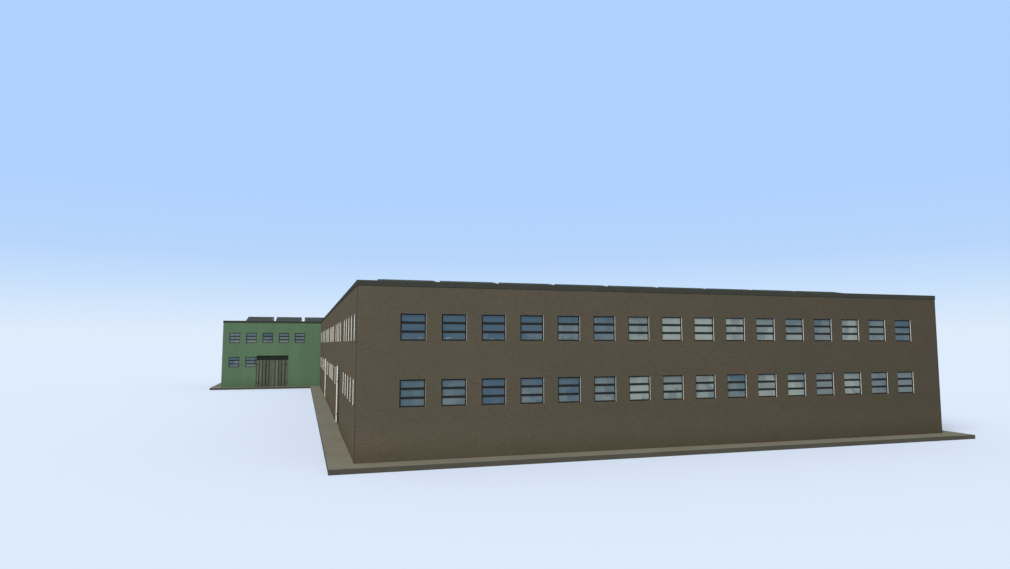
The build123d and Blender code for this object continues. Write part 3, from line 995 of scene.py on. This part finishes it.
def coping_stones(node, axis, sizes):
    """Equal stones with a joint between each two, and under them a bed that fills the joints.

    The stones are as near to their set length as a whole number of them allows.
    """
    along = np.eye(3)[axis]
    plane = Plane((0, 0, 0), along, np.cross(UP, along))
    (start, end), (near, far), (low, high) = np.sort(plane.local(node_box(node)), axis=0).T
    count = max(1, round((end - start) / sizes.coping))
    edges, place = np.linspace(start, end, count + 1), np.arange(count)
    first = edges[:-1] + sizes.joint / 2 * (place > 0)
    last = edges[1:] - sizes.joint / 2 * (place < count - 1)
    cut = sizes.chamfer
    section = chamfered((near, far), (low, high), cut)
    shape = Shape().add(*prisms(plane, at(first, 0, 0), at(last, 0, 0), section, ACROSS))
    bed = (start + cut, end - cut), (near + cut, far - cut), (low, high - cut)
    return shape.add(*slabs(plane, *bed))


class FACTORY_OT_copings(bpy.types.Operator):
    """Add the coping stones along the tops of the walls"""

    bl_idname = "factory.copings"
    bl_label = "Copings"

    def execute(self, context):
        sizes, tints = context.scene.factory_roof, context.scene.factory_colours
        paint = painted("coping_paint", tints.coping, roughness=0.65, specular=0.0)
        for node, axis in COPINGS.items():
            coping_stones(node, axis, sizes).piece(f"{node}_stones", paint, "coping", replaces=(node,))
        return {"FINISHED"}


def rooflight_row(frames, panes, points, edges, sides, sizes):
    """Adds one row of rooflights, on the plane that lies on their kerbs and rises to the back.

    The plane's b runs up the slope, whose length is the root of its rise and its run squared, and
    the lights' thickness across it is their upright thickness times the run over that length. The
    glass fills the part from 0.3 to 0.6 of it.
    """
    front, back = edges
    (low, high), (back_low, _) = (
        spans(points[np.abs(points[:, 1] - edge) < NEAR, 2])[0] for edge in edges
    )
    rise, run = back_low - low, back - front
    slope = float(np.hypot(rise, run))
    thick = (high - low) * run / slope
    plane = Plane((0.0, front, low), ALONG, np.array([0.0, run, rise]) / slope)
    lights = np.column_stack([sides, np.zeros(len(sides)), np.full(len(sides), slope)])
    width, cut, held = sizes.frame, 0.004, 0.004
    depths = (thick * 0.3, thick * 0.6)
    frames.add(*rings(plane, lights, [
        (0.0, 0.0), (width, 0.0), (width, thick - cut), (width - cut, thick), (cut, thick),
        (0.0, thick - cut),
    ]))
    left, right, foot, head = inset(lights, width).T
    section = chamfered((0.0, thick), (-sizes.bar / 2, sizes.bar / 2), cut)
    for place in range(1, sizes.bars + 1):
        middle = left + (right - left) * place / (sizes.bars + 1)
        frames.add(*prisms(plane, at(middle, foot, 0), at(middle, head, 0), section, OUTWARD))
    glass = inset(lights, width - held)
    panes.add(*slabs(plane, glass[:, :2], glass[:, 2:], depths))


class FACTORY_OT_rooflights(bpy.types.Operator):
    """Add the frames, bars and glass of the rooflights, and finish the roofs and kerbs"""

    bl_idname = "factory.rooflights"
    bl_label = "Roofs and rooflights"

    def execute(self, context):
        sizes, tints = context.scene.factory_roof, context.scene.factory_colours
        metal = painted("rooflight_metal", tints.coping, roughness=0.5)
        glass = rooflight_glass(tints.roof_glass)
        dress(roof_felt(tints.felt), "main_roof", "rear_roof")
        for name, (node, kerbs) in ROOFLIGHTS.items():
            dress(metal, kerbs)
            points = node_points(node)
            frames, panes = Shape(), Shape()
            for edges, sides in rows_of(node, points):
                rooflight_row(frames, panes, points, edges, sides, sizes)
            frames.piece(f"{name}_rooflight_frames", metal, "rooflight_metal")
            panes.piece(f"{name}_rooflight_panes", glass, "rooflight_glass", replaces=(node,))
        return {"FINISHED"}


# Stage

class FACTORY_OT_stage(bpy.types.Operator):
    """Add the floor, the even light, the soft sun and the camera"""

    bl_idname = "factory.stage"
    bl_label = "Stage"

    def execute(self, context):
        self.add_floor(context)
        self.add_world(context)
        self.add_sun(context)
        self.add_camera(context)
        return {"FINISHED"}

    def add_floor(self, context):
        """A square that reaches to the horizon, just under the plinth."""
        half, level = 600.0, -0.001
        mesh = bpy.data.meshes.new("stage_floor")
        corners = [(-half, -half), (half, -half), (half, half), (-half, half)]
        mesh.from_pydata([(*corner, level) for corner in corners], [], [(0, 1, 2, 3)])
        finish = Finish("stage_floor", roughness=1.0, specular=0.0)
        mesh.materials.append(finish.paint((*context.scene.factory_colours.floor, 1)))
        floor = bpy.data.objects.new("stage_floor", mesh)
        context.scene.collection.objects.link(floor)

    def add_world(self, context):
        """Even white light, while the camera and reflections see a sky that pales to the horizon."""
        world = bpy.data.worlds.new("stage_world")
        world.use_nodes = True
        world.node_tree.nodes.clear()
        nodes = Nodes(world.node_tree)
        height = nodes.parts(nodes.node("ShaderNodeTexCoord").outputs["Generated"])[2]
        sky = nodes.ramp(height, [(place, srgb(*shade)) for place, shade in SKY])
        ray = nodes.node("ShaderNodeLightPath").outputs
        seen = nodes.math("MAXIMUM", ray["Is Camera Ray"], ray["Is Glossy Ray"])
        seen = nodes.math("MAXIMUM", seen, ray["Is Transmission Ray"])
        strength = context.scene.factory_stage.world
        light = nodes.node("ShaderNodeBackground", Color=(1, 1, 1, 1), Strength=strength)
        backdrop = nodes.node("ShaderNodeBackground", Color=sky)
        mix = nodes.node("ShaderNodeMixShader", Fac=seen)
        nodes.feed(mix.inputs[1], light.outputs["Background"])
        nodes.feed(mix.inputs[2], backdrop.outputs["Background"])
        nodes.node("ShaderNodeOutputWorld", Surface=mix.outputs["Shader"])
        context.scene.world = world

    def add_sun(self, context):
        """A wide sun from the front left, 46 degrees up."""
        lamp = bpy.data.lights.new("soft_sun", "SUN")
        lamp.energy = context.scene.factory_stage.sun
        lamp.angle = radians(35)
        sun = bpy.data.objects.new("soft_sun", lamp)
        sun.rotation_euler = (radians(44), 0.0, radians(-47))
        context.scene.collection.objects.link(sun)

    def add_camera(self, context):
        """The camera, set out from the brown block's near left corner."""
        stage = context.scene.factory_stage
        camera = bpy.data.cameras.new("camera")
        camera.lens = stage.lens
        camera.sensor_width = 36.0
        camera.clip_end = 2000.0
        made = bpy.data.objects.new("camera", camera)
        made.location = node_box("front_wall")[0] + np.array(stage.corner_offset)
        made.rotation_euler = (radians(90) + stage.pitch, 0.0, -stage.yaw)
        context.scene.collection.objects.link(made)
        context.scene.camera = made
        context.scene.view_settings.view_transform = "Standard"


class FACTORY_PT_sidebar(bpy.types.Panel):
    """The building's pieces and their sizes"""

    bl_idname = "FACTORY_PT_sidebar"
    bl_label = "Factory building"
    bl_space_type = "VIEW_3D"
    bl_region_type = "UI"
    bl_category = "Factory"

    def draw(self, context):
        for operator in OPERATORS:
            self.layout.operator(operator.bl_idname)
        for name, group in SETTINGS.items():
            box = self.layout.box()
            for key in group.__annotations__:
                box.prop(getattr(context.scene, name), key)


OPERATORS = (
    FACTORY_OT_walls, FACTORY_OT_windows, FACTORY_OT_gates, FACTORY_OT_copings,
    FACTORY_OT_rooflights, FACTORY_OT_stage,
)
CLASSES = (*SETTINGS.values(), *OPERATORS, FACTORY_PT_sidebar)


def register():
    """Adds the classes, and their settings to the scene."""
    for part in CLASSES:
        bpy.utils.register_class(part)
    for name, group in SETTINGS.items():
        setattr(bpy.types.Scene, name, PointerProperty(type=group))


def unregister():
    """Takes away what register added."""
    for name in SETTINGS:
        delattr(bpy.types.Scene, name)
    for part in reversed(CLASSES):
        bpy.utils.unregister_class(part)


def main():
    """Builds everything in order."""
    register()
    bpy.ops.factory.walls()
    bpy.ops.factory.windows()
    bpy.ops.factory.gates()
    bpy.ops.factory.copings()
    bpy.ops.factory.rooflights()
    bpy.ops.factory.stage()


if __name__ == "__main__":
    main()
